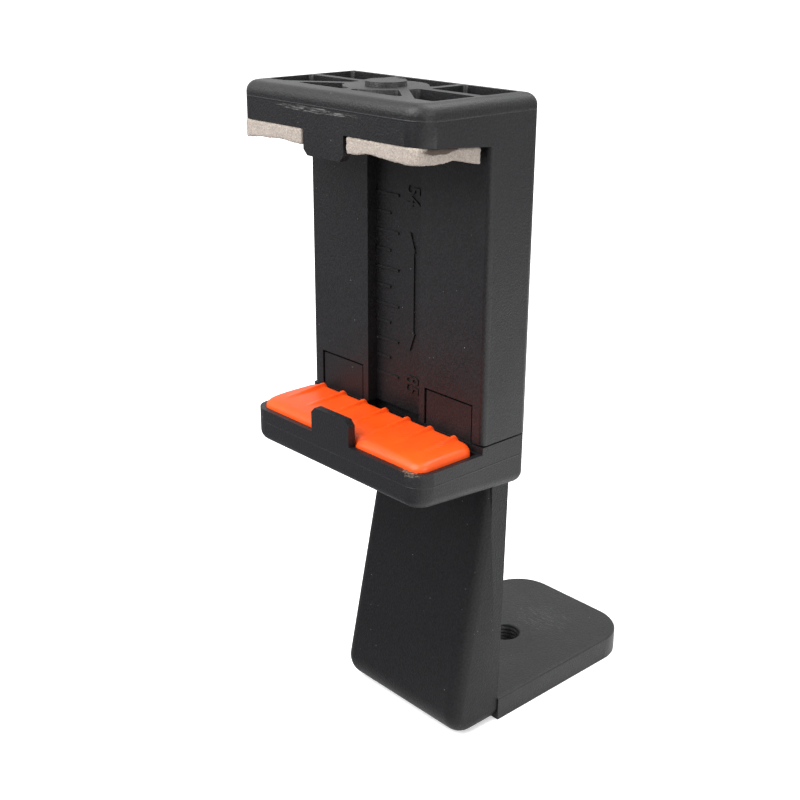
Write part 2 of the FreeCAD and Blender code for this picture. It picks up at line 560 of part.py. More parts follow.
clamp_nut = new_body("clamp_nut", IN_CLAMP)
nut = sketch_on(clamp_nut, "XZ", "Hexagon", f"-{NUT_FRONT}")
hexagon(nut, SCREW_Z, "nut_across_flats")
pad(clamp_nut, nut, "nut_thickness", back=True)
bore(clamp_nut, "NutBore", "0", SCREW_Z, "clamp_screw_radius+screw_gap", f"({NUT_FRONT}-beyond)",
     "nut_thickness+2*beyond")

# Felt strips: glued under the upper jaw, one each side of its lip
FELT_BACK = "(throat_depth - felt_back_gap)"
FELT_SLOPE = "(head_drop/throat_depth)"
FELT_INNER = "(lip_width/2 + felt_lip_gap)"
FELT_OUTER = f"({HALF_WIDTH} - felt_side_gap)"


def felt_strip(label, start):
    strip = new_body(label, IN_CLAMP)
    section = sketch_on(strip, "YZ", label + "Section", start)
    front_top = f"{HEAD_FRONT_Z}-{FELT_SLOPE}*felt_front_gap"
    back_top = f"{HEAD_FRONT_Z}-{FELT_SLOPE}*{FELT_BACK}"
    outline(section, [("felt_front_gap", f"{front_top}-felt_thickness"),
                      (FELT_BACK, f"{back_top}-felt_thickness"),
                      (FELT_BACK, back_top), ("felt_front_gap", front_top)])
    pad(strip, section, f"{FELT_OUTER}-{FELT_INNER}")
    outer = reckon(FELT_OUTER)
    fillet(strip, "felt_corner_radius",
           lambda c, d: near(abs(c.x), outer) and d.z > 1 and c.y < 1)
    return strip


felt_right = felt_strip("felt_right", FELT_INNER)
felt_left = felt_strip("felt_left", f"-{FELT_OUTER}")

# Lower jaw: one moulding, a tray with side blocks, flush tabs, a lip and two guide arms
lower_jaw = new_body("lower_jaw", IN_CLAMP)
jaw_side = sketch_on(lower_jaw, "YZ", "JawSide")
JAW_REAR = "(clamp_depth - jaw_back_gap)"
outline(jaw_side, [("jaw_front_gap", JAW_FRONT_BOTTOM), (JAW_REAR, JAW_BACK_BOTTOM), (JAW_REAR, JAW_TOP),
                   ("throat_depth", JAW_TOP), ("throat_depth", RIM_Z), ("jaw_front_gap", RIM_Z)])
pad(lower_jaw, jaw_side, "clamp_width", middle=True)
jaw_front = size("jaw_front_gap")
jaw_rear = reckon(JAW_REAR)
fillet(lower_jaw, "jaw_corner_radius",
       lambda c, d: near(c.y, jaw_front) and near(abs(c.x), half_width) and d.z > 2)
fillet(lower_jaw, "back_edge_radius",
       lambda c, d: near(c.y, jaw_rear) and near(abs(c.x), half_width) and d.z > 2)
jaw_low = reckon(JAW_FRONT_BOTTOM) + 0.01
fillet(lower_jaw, "jaw_bottom_radius", lambda c, d: c.z < jaw_low and d.z < size("tray_slope") + 0.1)

tray = sketch_on(lower_jaw, "XY", "Tray", RIM_Z)
TRAY_HALF = "(clamp_width/2 - tray_wall)"
TRAY_FRONT = "(jaw_front_gap + tray_wall)"
TRAY_BACK = "(throat_depth - tray_back_wall)"
rectangle(tray, (f"-{TRAY_HALF}", TRAY_FRONT), (TRAY_HALF, TRAY_BACK))
pocket(lower_jaw, tray, "tray_depth")
tray_half = reckon(TRAY_HALF)
tray_front = reckon(TRAY_FRONT)
fillet(lower_jaw, "jaw_corner_radius-tray_wall",
       lambda c, d: near(abs(c.x), tray_half) and near(c.y, tray_front) and d.z > 1)
back_opening = sketch_on(lower_jaw, "XY", "BackOpening", "beyond")
rectangle(back_opening, ("-jaw_cutout_width/2", JAW_BACK), ("jaw_cutout_width/2", "clamp_depth+beyond"))
pocket(lower_jaw, back_opening, "rim_drop+tray_height+tray_slope+2*beyond")
middle_gap = sketch_on(lower_jaw, "XY", "MiddleGap", "beyond")
rectangle(middle_gap, (f"-({NOTCH_INNER})", f"{TRAY_BACK}-overlap"), (NOTCH_INNER, f"{TRAY_BACK}+slot_depth"))
pocket(lower_jaw, middle_gap, "beyond+rim_drop+tray_depth")

tab = sketch_on(lower_jaw, "XZ", "Tab", "-(throat_depth+tab_recess)")
rectangle(tab, (f"{NOTCH_INNER}+tab_gap", "-jaw_top_gap-beyond"),
          (f"{NOTCH_OUTER}-tab_gap", "notch_height-tab_gap"))
tab_pad = pad(lower_jaw, tab, "front_wall-tab_recess-overlap", back=True)
tab_root = sketch_on(lower_jaw, "XZ", "TabRoot", "-(throat_depth+front_wall-2*overlap)")
rectangle(tab_root, (ARM_INNER, "-jaw_top_gap-beyond"), (f"{NOTCH_OUTER}-tab_gap", "notch_height-2*tab_gap"))
root_pad = pad(lower_jaw, tab_root, "slide_gap+3*overlap", back=True)
arm = sketch_on(lower_jaw, "XZ", "Arm", f"-{ARM_FRONT}")
rectangle(arm, (ARM_INNER, TRAY_FLOOR), (ARM_OUTER, ARM_TOP))
arm_pad = pad(lower_jaw, arm, "arm_thickness", back=True)
arm_bore = sketch_on(lower_jaw, "XZ", "ArmBore", f"-({ARM_FRONT}+arm_thickness)")
circle(arm_bore, SPRING_X, SPRING_LOW, "pin_radius")
arm_cut = pocket(lower_jaw, arm_bore, "arm_thickness-pin_floor", back=True)
mirror_across(lower_jaw, [tab_pad, root_pad, arm_pad, arm_cut])
lower_lip = sketch_on(lower_jaw, "XZ", "LowerLip", "-jaw_front_gap")
LIP_TOP = f"({RIM_Z} + lower_lip_rise)"
outline(lower_lip, [("-lip_width/2", RIM_Z + "-beyond"), ("lip_width/2", RIM_Z + "-beyond"),
                    ("lip_width/2", LIP_TOP + "-lip_chamfer"), ("lip_width/2-lip_chamfer", LIP_TOP),
                    ("-lip_width/2+lip_chamfer", LIP_TOP), ("-lip_width/2", LIP_TOP + "-lip_chamfer")])
pad(lower_jaw, lower_lip, "lip_thickness", back=True)

# Rubber pad: sits in the tray, notched round the lip, with seven thin ridges
grip_pad = new_body("grip_pad", IN_CLAMP)
PAD_HALF = f"({TRAY_HALF} - pad_gap)"
PAD_FRONT = f"({TRAY_FRONT} + pad_gap)"
PAD_BACK = f"({TRAY_BACK} - pad_gap)"
RIDGES = 7
pad_plan = sketch_on(grip_pad, "XY", "PadPlan", TRAY_FLOOR)
rectangle(pad_plan, (f"-{PAD_HALF}", PAD_FRONT), (PAD_HALF, PAD_BACK))
pad(grip_pad, pad_plan, f"{PAD_TOP}-ridge_height-{TRAY_FLOOR}")
lip_notch = sketch_on(grip_pad, "XY", "LipNotch", PAD_TOP)
rectangle(lip_notch, ("-lip_width/2-pad_lip_gap", "0"),
          ("lip_width/2+pad_lip_gap", "jaw_front_gap+lip_thickness+pad_lip_gap"))
pocket(grip_pad, lip_notch, f"{PAD_TOP}-{TRAY_FLOOR}+beyond")
pad_half = reckon(PAD_HALF)
fillet(grip_pad, "jaw_corner_radius-tray_wall-pad_gap",
       lambda c, d: near(abs(c.x), pad_half) and d.z > 2 and near(d.x, 0) and near(d.y, 0))
pad_face = reckon(f"{PAD_TOP}-ridge_height")
fillet(grip_pad, "pad_edge_radius", lambda c, d: near(c.z, pad_face))
ridge = sketch_on(grip_pad, "YZ", "Ridge", f"-ridge_pitch*{RIDGES - 1}/2-ridge_width/2")
RIDGE_BACK = f"({PAD_BACK} - pad_edge_radius/2)"
RIDGE_FOOT = f"({PAD_TOP} - ridge_height - pad_edge_radius)"
outline(ridge, [(RIDGE_BACK, RIDGE_FOOT), (RIDGE_BACK, f"{PAD_TOP}-ridge_nib/2"),
                (f"{RIDGE_BACK}-ridge_nib/2", PAD_TOP), (f"{RIDGE_BACK}-ridge_nib", PAD_TOP),
                ("ridge_start", f"{PAD_TOP}-ridge_height"), ("ridge_start", RIDGE_FOOT)])
ridge_pad = pad(grip_pad, ridge, "ridge_width")
ridges = grip_pad.newObject("PartDesign::LinearPattern", "Ridges")
ridges.Originals = [ridge_pad]
x_axis = [o for o in grip_pad.Origin.OriginFeatures if o.Role == "X_Axis"][0]
ridges.Direction = (x_axis, [""])
ridges.setExpression("Length", fx(f"ridge_pitch*{RIDGES - 1}"))
ridges.Occurrences = RIDGES
grip_pad.Tip = ridges
doc.recompute()

# Return springs: tension coils behind the rails, with a flat hook and an eye at each end
COIL_LOW = "(pin_radius + spring_wire)"
COIL_HIGH = f"({SPRING_HIGH} - {SPRING_LOW} - pin_radius - spring_wire)"


def return_spring(label, across):
    """One spring in a frame whose Z axis is the coil's and whose origin is at the lower pin."""
    spring = new_body(label, (f"{FRONT_Y}+{SPRING_Y}", f"body_bottom+{SPRING_LOW}"))
    spring.setExpression("Placement.Base.x", fx(across))
    wire = sketch_on(spring, "XZ", "Wire")
    circle(wire, "spring_radius", COIL_LOW, "spring_wire/2")
    coil = spring.newObject("PartDesign::AdditiveHelix", "Coil")
    coil.Profile = wire
    z_axis = [o for o in spring.Origin.OriginFeatures if o.Role == "Z_Axis"][0]
    coil.ReferenceAxis = (z_axis, [""])
    coil.Mode = "height-turns-angle"
    coil.setExpression("Height", fx(f"{COIL_HIGH}-{COIL_LOW}"))
    coil.setExpression("Turns", fx("spring_turns"))
    doc.recompute()
    ends = (("Low", COIL_LOW, "0"), ("High", COIL_HIGH, f"{SPRING_HIGH}-{SPRING_LOW}"))
    for end, coil_end, eye_height in ends:
        hook = sketch_on(spring, "XZ", "Hook" + end)
        rectangle(hook, ("-spring_wire", f"{coil_end}-hook_width/2"),
                  ("spring_radius+hook_width/4", f"{coil_end}+hook_width/2"))
        pad(spring, hook, "hook_width", middle=True)
        eye = sketch_on(spring, "XZ", "Eye" + end)
        circle(eye, "0", eye_height, "pin_radius+screw_gap+spring_wire")
        pad(spring, eye, "spring_wire", middle=True)
        eye_bore = sketch_on(spring, "XZ", "EyeBore" + end)
        circle(eye_bore, "0", eye_height, "pin_radius+screw_gap")
        pocket(spring, eye_bore, "spring_wire+2*beyond", middle=True)


return_spring("return_spring_right", SPRING_X)
return_spring("return_spring_left", f"-{SPRING_X}")

# Spring pins: the lower ones are pressed into the jaw's arms, the upper ones into the rails' wall
lower_pins = new_body("lower_spring_pins", IN_CLAMP)
lower_pins.AllowCompound = True
LOWER_PIN_START = f"({ARM_FRONT} + pin_floor + pin_end_gap)"
pins = sketch_on(lower_pins, "XZ", "LowerPins", f"-{LOWER_PIN_START}")
circle(pins, SPRING_X, SPRING_LOW, "pin_radius-pin_play")
circle(pins, f"-{SPRING_X}", SPRING_LOW, "pin_radius-pin_play")
pad(lower_pins, pins, f"{SPRING_Y}+pin_past_spring-{LOWER_PIN_START}", back=True)
upper_pins = new_body("upper_spring_pins", IN_CLAMP)
upper_pins.AllowCompound = True
UPPER_PIN_START = f"({CAVITY_FRONT} - pin_seat + pin_end_gap)"
pins = sketch_on(upper_pins, "XZ", "UpperPins", f"-{UPPER_PIN_START}")
circle(pins, SPRING_X, SPRING_HIGH, "pin_radius-pin_play")
circle(pins, f"-{SPRING_X}", SPRING_HIGH, "pin_radius-pin_play")
pad(upper_pins, pins, f"{COVER_FRONT}-pin_end_gap-{UPPER_PIN_START}", back=True)

# Upright: a wedge-shaped post with a rounded toe, thin and straight behind the clamp
upright = new_body("upright", IN_STAND)
post = sketch_on(upright, "YZ", "PostSide")
TOE_Y = "(clamp_depth - toe_reach)"
outline(post, [(HEEL_Y, "0"), (UPRIGHT_BACK, "slope_top"), (UPRIGHT_BACK, "upright_height"),
               (UPRIGHT_FRONT, "upright_height"), (UPRIGHT_FRONT, "slope_top"), (TOE_Y, "0")])
pad(upright, post, "upright_base_width", middle=True)
TOP_HALF = "(upright_base_width/2 - upright_taper)"
taper = sketch_on(upright, "XZ", "PostTaper")
for sign in ("", "-"):
    outline(taper, [(f"{sign}upright_base_width/2", "0"), (f"{sign}{TOP_HALF}", "slope_top"),
                    (f"{sign}{TOP_HALF}", "upright_height+beyond"),
                    (f"{sign}(upright_base_width/2+beyond)", "upright_height+beyond"),
                    (f"{sign}(upright_base_width/2+beyond)", "0")])
pocket(upright, taper, "clamp_depth*2")
toe_y = reckon(TOE_Y)
fillet(upright, "nose_radius", lambda c, d: near(c.y, toe_y) and near(c.z, 0) and d.x > 5)
slope_top = size("slope_top")
top_half = reckon(TOP_HALF)
fillet(upright, "upright_edge_radius",
       lambda c, d: abs(c.x) > top_half - 0.1 and c.y < clamp_depth - 0.5 and d.z > 1 and d.y > 0.5)
upright_top = size("upright_height")
fillet(upright, "upright_corner_radius",
       lambda c, d: near(c.z, upright_top) and near(abs(c.x), top_half) and d.y > 2)
bore(upright, "ClampScrewBore", "0", "clamp_screw_height", "clamp_screw_radius+screw_gap",
     "(clamp_depth-beyond)", "plate_thickness+2*beyond")
tongue_slot = sketch_on(upright, "XY", "TongueSlot")
rectangle(tongue_slot, ("-tongue_width/2-tongue_gap", f"{FOOT_FRONT}-tongue_length-tongue_gap"),
          ("tongue_width/2+tongue_gap", f"{UPRIGHT_BACK}+beyond"))
pocket(upright, tongue_slot, "tongue_height+tongue_gap", back=True)
post_bores = sketch_on(upright, "XY", "PostBores")
for across in ("foot_screw_spacing/2", "-foot_screw_spacing/2"):
    circle(post_bores, across, FOOT_SCREW_Y, "small_screw_radius+screw_gap")
pocket(upright, post_bores, "foot_screw_length+blind_gap", back=True)

# Foot plate: flat, with rounded back corners, a screw hole and a tongue under the upright
foot_plate = new_body("foot_plate", IN_STAND)
foot = sketch_on(foot_plate, "XY", "FootPlan")
rectangle(foot, (f"-{FOOT_HALF}", FOOT_FRONT), (FOOT_HALF, FOOT_BACK))
pad(foot_plate, foot, "foot_thickness")
foot_half = reckon(FOOT_HALF)
foot_back = reckon(FOOT_BACK)
foot_front = reckon(FOOT_FRONT)
foot_top = size("foot_thickness")
fillet(foot_plate, "foot_corner_radius",
       lambda c, d: near(abs(c.x), foot_half) and near(c.y, foot_back) and d.z > 2)
fillet(foot_plate, "foot_edge_radius",
       lambda c, d: near(c.z, foot_top) and c.y > foot_front + 0.1)
mark = sketch_on(foot_plate, "XY", "GateMark", "foot_thickness/3")
circle(mark, "gate_mark_offset", f"{FOOT_BACK}+gate_mark-gate_mark_radius", "gate_mark_radius")
pad(foot_plate, mark, "foot_thickness/2")
tongue = sketch_on(foot_plate, "XY", "Tongue")
rectangle(tongue, ("-tongue_width/2", f"{FOOT_FRONT}-tongue_length"),
          ("tongue_width/2", FOOT_FRONT + "+overlap"))
pad(foot_plate, tongue, "tongue_height")
foot_hole = sketch_on(foot_plate, "XY", "FootHole", "foot_thickness")
circle(foot_hole, "0", f"{FOOT_FRONT}+foot_hole_setback", "foot_hole_radius")
pocket(foot_plate, foot_hole, "foot_thickness+beyond")
hole_diameter = 2 * size("foot_hole_radius")
fillet(foot_plate, "foot_edge_radius",
       lambda c, d: near(c.z, foot_top) and near(d.x, hole_diameter) and near(c.x, 0))
tongue_bores = sketch_on(foot_plate, "XY", "TongueBores", "tongue_height")
tongue_sinks = sketch_on(foot_plate, "XY", "TongueSinks")
for across in ("foot_screw_spacing/2", "-foot_screw_spacing/2"):
    circle(tongue_bores, across, FOOT_SCREW_Y, "small_screw_radius+screw_gap")
    circle(tongue_sinks, across, FOOT_SCREW_Y, "small_head_radius+screw_gap")
pocket(foot_plate, tongue_bores, "tongue_height+beyond")
pocket(foot_plate, tongue_sinks, "small_head_height+screw_gap", back=True)

# Foot screws: two small screws up through the tongue into the upright
foot_screws = new_body("foot_screws", IN_STAND)
foot_screws.AllowCompound = True
foot_heads = sketch_on(foot_screws, "XY", "FootHeads", "foot_head_rise")
foot_shanks = sketch_on(foot_screws, "XY", "FootShanks", "foot_head_rise")
for across in ("foot_screw_spacing/2", "-foot_screw_spacing/2"):
    circle(foot_heads, across, FOOT_SCREW_Y, "small_head_radius")
    circle(foot_shanks, across, FOOT_SCREW_Y, "small_screw_radius")
pad(foot_screws, foot_heads, "small_head_height-foot_head_rise")
pad(foot_screws, foot_shanks, "foot_screw_length")

# Every feature must have worked, and every piece must be a sound solid, before anything is written
doc.recompute()
for item in doc.Objects:
    if any(word in ("Invalid", "Error") for word in item.State):
        raise ValueError(f"{item.Label} failed: {item.State}")
pieces = [item for item in doc.Objects if item.TypeId == "PartDesign::Body"]
for piece in pieces:
    if piece.Shape.isNull() or not piece.Shape.isValid():
        raise ValueError(f"{piece.Label} is not a sound solid")

os.makedirs("parts", exist_ok=True)
for piece in pieces:
    piece.Shape.exportStep(f"parts/{piece.Label}.step")
    print(f"{piece.Label}: {len(piece.Shape.Solids)} solids, {piece.Shape.Volume:.0f} mm3")
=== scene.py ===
import math

import bpy
from mathutils import Matrix, Vector, noise


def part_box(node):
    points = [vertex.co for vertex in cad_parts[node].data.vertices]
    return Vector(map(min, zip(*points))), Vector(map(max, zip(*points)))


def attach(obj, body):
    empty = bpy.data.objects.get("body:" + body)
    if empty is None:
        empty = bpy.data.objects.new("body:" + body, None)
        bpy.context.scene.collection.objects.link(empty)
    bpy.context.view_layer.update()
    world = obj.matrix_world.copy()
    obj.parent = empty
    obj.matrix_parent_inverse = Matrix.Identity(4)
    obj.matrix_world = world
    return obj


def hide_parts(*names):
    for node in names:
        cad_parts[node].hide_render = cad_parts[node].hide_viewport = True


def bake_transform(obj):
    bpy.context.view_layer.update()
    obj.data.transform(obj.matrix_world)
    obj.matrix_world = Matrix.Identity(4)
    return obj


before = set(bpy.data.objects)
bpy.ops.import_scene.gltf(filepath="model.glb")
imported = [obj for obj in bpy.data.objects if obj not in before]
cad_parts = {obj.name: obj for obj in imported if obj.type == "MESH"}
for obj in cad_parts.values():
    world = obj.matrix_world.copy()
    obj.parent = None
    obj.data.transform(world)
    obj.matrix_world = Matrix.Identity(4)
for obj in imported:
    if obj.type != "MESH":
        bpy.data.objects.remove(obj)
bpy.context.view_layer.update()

# Camera: it looks down on the holder's front from its right, as the photograph does.
# Its place, its turns and its focal length were fitted to the photograph's edges.
MM = 0.001
CAMERA_PLACE = Vector((178.4, -184.2, 166.8)) * MM
CAMERA_YAW = math.radians(47.55)
CAMERA_PITCH = math.radians(20.7)
CAMERA_ROLL = math.radians(0.3)
FOCAL_PIXELS = 1239.8
PHOTO_WIDTH = 800
SENSOR_WIDTH = 36.0

camera = bpy.data.objects.new("camera", bpy.data.cameras.new("camera"))
bpy.context.scene.collection.objects.link(camera)
camera.data.sensor_width = SENSOR_WIDTH
camera.data.lens = FOCAL_PIXELS / PHOTO_WIDTH * SENSOR_WIDTH
forward = Vector((-math.sin(CAMERA_YAW) * math.cos(CAMERA_PITCH),
                  math.cos(CAMERA_YAW) * math.cos(CAMERA_PITCH),
                  -math.sin(CAMERA_PITCH)))
level = forward.cross(Vector((0, 0, 1))).normalized()
upward = level.cross(forward)
right = level * math.cos(CAMERA_ROLL) + upward * math.sin(CAMERA_ROLL)
upward = right.cross(forward)
turn = Matrix((right, upward, -forward)).transposed()
camera.matrix_world = Matrix.Translation(CAMERA_PLACE) @ turn.to_4x4()
bpy.context.scene.camera = camera
bpy.context.scene.view_settings.view_transform = "Standard"


# Room: a white studio round the holder, with three large soft lamps.
# It shows white to the camera and in mirrored light, and is dimmer as a source of light.
def wire(tree, source, output, target, socket):
    """Join an output of one shader node to an input of another."""
    tree.links.new(source.outputs[output], target.inputs[socket])


def node(tree, kind, **values):
    """Add a shader node and set its named inputs and its properties."""
    made = tree.nodes.new("ShaderNode" + kind)
    for name, value in values.items():
        if hasattr(made, name):
            setattr(made, name, value)
        else:
            made.inputs[name.replace("_", " ")].default_value = value
    return made


def calculate(tree, operation, first, second=None):
    """A Math node on two values, each an output (node, name) or a number."""
    made = node(tree, "Math", operation=operation)
    for socket, value in enumerate((first, second)):
        if isinstance(value, tuple):
            wire(tree, *value, made, socket)
        elif value is not None:
            made.inputs[socket].default_value = value
    return made, 0


def spread(tree, value, low=0.0, high=1.0, to=(0.0, 1.0), soft=False):
    """Carry a value (node, name) from the range low to high over to another range."""
    made = node(tree, "MapRange", interpolation_type="SMOOTHSTEP" if soft else "LINEAR")
    made.inputs["From Min"].default_value = low
    made.inputs["From Max"].default_value = high
    made.inputs["To Min"].default_value, made.inputs["To Max"].default_value = to
    wire(tree, *value, made, "Value")
    return made, "Result"


ROOM_LIGHT = 0.35
WHITE = (1, 1, 1, 1)
world = bpy.data.worlds.new("studio")
bpy.context.scene.world = world
world.use_nodes = True
tree = world.node_tree
tree.nodes.clear()
rays = node(tree, "LightPath")
shown = calculate(tree, "MAXIMUM", (rays, "Is Camera Ray"), (rays, "Is Glossy Ray"))
shown = calculate(tree, "MAXIMUM", shown, (rays, "Is Transmission Ray"))
sky = node(tree, "Background", Color=WHITE)
wire(tree, *spread(tree, shown, to=(ROOM_LIGHT, 1.0)), sky, "Strength")
out = node(tree, "OutputWorld")
wire(tree, sky, "Background", out, "Surface")

HOLDER_MIDDLE = Vector((0, 0, 0.07))


def lamp(name, place, size, power):
    """A square soft lamp that looks at the middle of the holder."""
    light = bpy.data.lights.new(name, "AREA")
    light.size = size
    light.energy = power
    hung = bpy.data.objects.new(name, light)
    bpy.context.scene.collection.objects.link(hung)
    hung.location = place
    hung.rotation_euler = (HOLDER_MIDDLE - Vector(place)).to_track_quat("-Z", "Y").to_euler()


lamp("key_lamp", place=(-0.15, -0.60, 0.70), size=0.8, power=13.0)
lamp("top_lamp", place=(0.10, 0.30, 0.80), size=0.6, power=5.5)
lamp("right_lamp", place=(0.75, -0.05, 0.40), size=0.5, power=2.8)


# Table: a pale board under the holder, not part of it, which keeps the holder's shadow.
# It is white to the camera, and near the holder to mirrored light. Far off and to the front
# left it mirrors as the dim side of the room, which the holder's black front faces show.
def mix(tree, factor, first, second):
    """Mix two colours by a value; a colour is three numbers or an output (node, name)."""
    made = node(tree, "MixRGB")
    wire(tree, *factor, made, 0)
    for socket, colour in ((1, first), (2, second)):
        if len(colour) == 2:
            wire(tree, *colour, made, socket)
        else:
            made.inputs[socket].default_value = (*colour, 1)
    return made, 0


TABLE_REACH = 6.0
BOARD_WHITE = (0.86, 0.86, 0.86)
BOARD_DIM = (0.22, 0.22, 0.235)
WHITE_REACH = 0.09
DIM_REACH = 0.55
GLOW_REACH = 0.70
GLOW_NEAR = 0.42
GLOW_FAR = 1.0
DARK_SIDE = (-0.7, -0.7, 0)
DARK_SIDE_FROM = -0.06
DARK_SIDE_FULL = 0.06

table_mesh = bpy.data.meshes.new("table")
table_mesh.from_pydata([(-TABLE_REACH, -TABLE_REACH, 0), (TABLE_REACH, -TABLE_REACH, 0),
                        (TABLE_REACH, TABLE_REACH, 0), (-TABLE_REACH, TABLE_REACH, 0)],
                       [], [(0, 1, 2, 3)])
table = bpy.data.objects.new("table", table_mesh)
bpy.context.scene.collection.objects.link(table)
board = bpy.data.materials.new("pale_board")
table_mesh.materials.append(board)
board.use_nodes = True
tree = board.node_tree
tree.nodes.clear()

place = node(tree, "NewGeometry")
away = node(tree, "VectorMath", operation="LENGTH")
wire(tree, place, "Position", away, 0)
towards = node(tree, "VectorMath", operation="DOT_PRODUCT")
wire(tree, place, "Position", towards, 0)
towards.inputs[1].default_value = DARK_SIDE
far_off = spread(tree, (away, "Value"), WHITE_REACH, DIM_REACH, soft=True)
front_left = spread(tree, (towards, "Value"), DARK_SIDE_FROM, DARK_SIDE_FULL, soft=True)
dim = calculate(tree, "MAXIMUM", far_off, front_left)

lit = node(tree, "BsdfDiffuse")
wire(tree, *mix(tree, dim, BOARD_WHITE, BOARD_DIM), lit, "Color")
matt = node(tree, "BsdfDiffuse", Color=(*BOARD_WHITE, 1))
glow = node(tree, "Emission", Color=WHITE)
glow_strength = spread(tree, (away, "Value"), WHITE_REACH, GLOW_REACH,
                       to=(GLOW_NEAR, GLOW_FAR), soft=True)
wire(tree, *glow_strength, glow, "Strength")
bright = node(tree, "AddShader")
wire(tree, matt, "BSDF", bright, 0)
wire(tree, glow, "Emission", bright, 1)

rays = node(tree, "LightPath")
mirrored = calculate(tree, "MAXIMUM", (rays, "Is Glossy Ray"), (rays, "Is Transmission Ray"))
mirrored = calculate(tree, "MULTIPLY", mirrored, calculate(tree, "SUBTRACT", 1.0, dim))
white_to = calculate(tree, "MAXIMUM", (rays, "Is Camera Ray"), mirrored)
pick = node(tree, "MixShader")
wire(tree, *white_to, pick, 0)
wire(tree, lit, "BSDF", pick, 1)
wire(tree, bright, 0, pick, 2)
out = node(tree, "OutputMaterial")
wire(tree, pick, 0, out, "Surface")


# Clamp body: one black moulding of upper jaw, rails and hollow back, in satin ABS.
# It comes from a two-part mould, so a thin parting line runs round the upper jaw.
# The front of the jaw is rubbed pale in streaks just below that line.
def group(name, inputs, outputs):
    """A shader node group with named inputs and outputs, and its two end nodes."""
    made = bpy.data.node_groups.new(name, "ShaderNodeTree")
    for label, kind, value in inputs:
        socket = made.interface.new_socket(label, in_out="INPUT",
                                           socket_type="NodeSocket" + kind)
        socket.default_value = value
    for label, kind in outputs:
        made.interface.new_socket(label, in_out="OUTPUT", socket_type="NodeSocket" + kind)
    return made, made.nodes.new("NodeGroupInput"), made.nodes.new("NodeGroupOutput")


def place_group(tree, made, **values):
    """Put a node group in a tree with its own input values."""
    placed = tree.nodes.new("ShaderNodeGroup")
    placed.node_tree = made
    for name, value in values.items():
        placed.inputs[name.replace("_", " ")].default_value = value
    return placed


# moulded grain: what the etched steel of a mould leaves on plastic, sizes in millimetres
grain, grain_in, grain_out = group(
    "moulded_grain",
    [("Grain Size", "Float", 0.25), ("Cloud Size", "Float", 14.0)],
    [("Height", "Float"), ("Clouds", "Float")])
place = node(grain, "TexCoord")
fine = node(grain, "TexNoise", Detail=3.0, Roughness=0.6)
wire(grain, place, "Object", fine, "Vector")
wire(grain, *calculate(grain, "DIVIDE", 1 / MM, (grain_in, "Grain Size")), fine, "Scale")
wire(grain, fine, "Fac", grain_out, "Height")
clouds = node(grain, "TexNoise", Detail=4.0, Roughness=0.55)
wire(grain, place, "Object", clouds, "Vector")
wire(grain, *calculate(grain, "DIVIDE", 1 / MM, (grain_in, "Cloud Size")), clouds, "Scale")
wire(grain, clouds, "Fac", grain_out, "Clouds")

# dust: a few pale specks that lie on the plastic, since most cells of the spacing stay clean
CLEAN_CELLS = 0.8
dust, dust_in, dust_out = group(
    "dust_specks",
    [("Spacing", "Float", 1.2), ("Share", "Float", 0.5)],
    [("Mask", "Float")])
place = node(dust, "TexCoord")
specks = node(dust, "TexVoronoi", feature="F1")
wire(dust, place, "Object", specks, "Vector")
wire(dust, *calculate(dust, "DIVIDE", 1 / MM, (dust_in, "Spacing")), specks, "Scale")
chance = node(dust, "SeparateColor")
wire(dust, specks, "Color", chance, 0)
radius = calculate(dust, "SUBTRACT", (chance, "Red"), CLEAN_CELLS)
radius = calculate(dust, "MULTIPLY", radius, (dust_in, "Share"))
wire(dust, *calculate(dust, "LESS_THAN", (specks, "Distance"), radius), dust_out, "Mask")

# scuff: pale broken streaks inside an oval patch, denser towards its centre
PATCH_CORE = 0.2
STREAK_FROM = 0.98
STREAK_FULL = 1.12
scuff, scuff_in, scuff_out = group(
    "scuff_patch",
    [("Centre", "Vector", (0, 0, 0)), ("Reach", "Vector", (1, 1, 1)),
     ("Streak", "Vector", (1, 1, 1)), ("Cover", "Float", 0.5)],
    [("Mask", "Float")])
place = node(scuff, "TexCoord")
offset = node(scuff, "VectorMath", operation="SUBTRACT")
wire(scuff, place, "Object", offset, 0)
wire(scuff, scuff_in, "Centre", offset, 1)
shrunk = node(scuff, "VectorMath", operation="DIVIDE")
wire(scuff, offset, 0, shrunk, 0)
wire(scuff, scuff_in, "Reach", shrunk, 1)
away = node(scuff, "VectorMath", operation="LENGTH")
wire(scuff, shrunk, 0, away, 0)
inside = spread(scuff, (away, "Value"), 1.0, PATCH_CORE, soft=True)
drawn = node(scuff, "VectorMath", operation="DIVIDE")
wire(scuff, place, "Object", drawn, 0)
wire(scuff, scuff_in, "Streak", drawn, 1)
rub = node(scuff, "TexNoise", Scale=1.0, Detail=5.0, Roughness=0.7)
wire(scuff, drawn, 0, rub, "Vector")
rubbed = calculate(scuff, "MULTIPLY", inside, (scuff_in, "Cover"))
rubbed = calculate(scuff, "ADD", rubbed, (rub, "Fac"))
wire(scuff, *spread(scuff, rubbed, STREAK_FROM, STREAK_FULL), scuff_out, "Mask")

# parting line: a hair-thin ridge at one height, where the mould's halves meet
parting, parting_in, parting_out = group(
    "parting_line",
    [("Level", "Float", 0.0), ("Width", "Float", 0.2 * MM)],
    [("Height", "Float")])
place = node(parting, "TexCoord")
apart = node(parting, "SeparateXYZ")
wire(parting, place, "Object", apart, 0)
gap = calculate(parting, "SUBTRACT", (apart, "Z"), (parting_in, "Level"))
gap = calculate(parting, "ABSOLUTE", gap)
gap = calculate(parting, "DIVIDE", gap, (parting_in, "Width"))
wire(parting, *spread(parting, gap, 1.0, 0.0, soft=True), parting_out, "Height")

